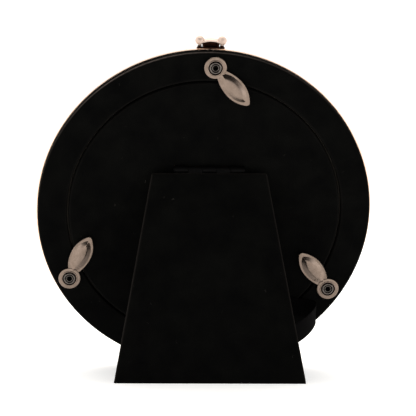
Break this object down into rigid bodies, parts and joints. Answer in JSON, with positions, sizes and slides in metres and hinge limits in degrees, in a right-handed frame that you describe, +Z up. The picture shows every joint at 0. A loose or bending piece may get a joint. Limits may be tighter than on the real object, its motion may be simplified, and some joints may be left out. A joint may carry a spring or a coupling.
{
  "type": "round photo frame",
  "caption": "Round photo frame with a cast metal rim and ball-finial crest, velvet-covered back, lift-out panel held by turn clips, and a hinged strut leg with a ribbon stay.",
  "frame": {"origin": "middle of the footprint, on the table that the rim and the leg stand on", "axes": "+Z up; -Y the way the picture faces; +Y towards the leg; +X to the left as seen from behind"},
  "size_m": [0.131, 0.0452, 0.1325],
  "materials": {
    "rose_gold_plate": "polished",
    "glass": "gloss",
    "photo_paper": "satin",
    "grey_card": "matte",
    "hardboard": "matte",
    "black_velvet": "matte",
    "satin_nickel": "satin",
    "oiled_steel_eyelet": "satin",
    "black_japanned_steel": "satin",
    "tinned_rivet": "satin",
    "black_ribbon": "satin"
  },
  "bodies": {
    "frame": {"front_rim": "rose_gold_plate", "crest_shell": "rose_gold_plate", "finial_left": "rose_gold_plate", "finial_right": "rose_gold_plate", "glass_pane": "glass", "photo_insert": "photo_paper", "backing_card": "grey_card", "spacer_ring": "grey_card", "ring_board": "hardboard", "panel_board": "hardboard", "ring_velvet": "black_velvet", "panel_velvet": "black_velvet", "eyelet_top": "oiled_steel_eyelet", "eyelet_left": "oiled_steel_eyelet", "eyelet_right": "oiled_steel_eyelet", "hinge_leaf_panel": "black_japanned_steel", "hinge_pin": "black_japanned_steel", "panel_rivets": "tinned_rivet", "ribbon_stay": "black_ribbon"},
    "leg": {"leg_board": "hardboard", "leg_velvet": "black_velvet", "hinge_leaf_leg": "black_japanned_steel", "leg_rivets": "tinned_rivet"},
    "clip_top": {"clip_top": "satin_nickel"},
    "clip_left": {"clip_left": "satin_nickel"},
    "clip_right": {"clip_right": "satin_nickel"}
  },
  "joints": [
    {"name": "leg_hinge", "type": "hinge", "parent": "frame", "child": "leg", "pos_m": [-0.0011, 0.00611, 0.08063], "axis": [1, 0, 0], "range_deg": [-23.8, 0], "deforming": ["ribbon_stay"]},
    {"name": "clip_top_turn", "type": "hinge", "parent": "frame", "child": "clip_top", "pos_m": [-0.00217, 0.0143, 0.12048], "axis": [0, 0.9732, -0.23], "continuous": true},
    {"name": "clip_left_turn", "type": "hinge", "parent": "frame", "child": "clip_left", "pos_m": [0.05223, -0.00565, 0.03609], "axis": [0, 0.9732, -0.23], "continuous": true},
    {"name": "clip_right_turn", "type": "hinge", "parent": "frame", "child": "clip_right", "pos_m": [-0.05006, -0.00652, 0.03244], "axis": [0, 0.9732, -0.23], "range_deg": [-160, 30]}
  ]
}
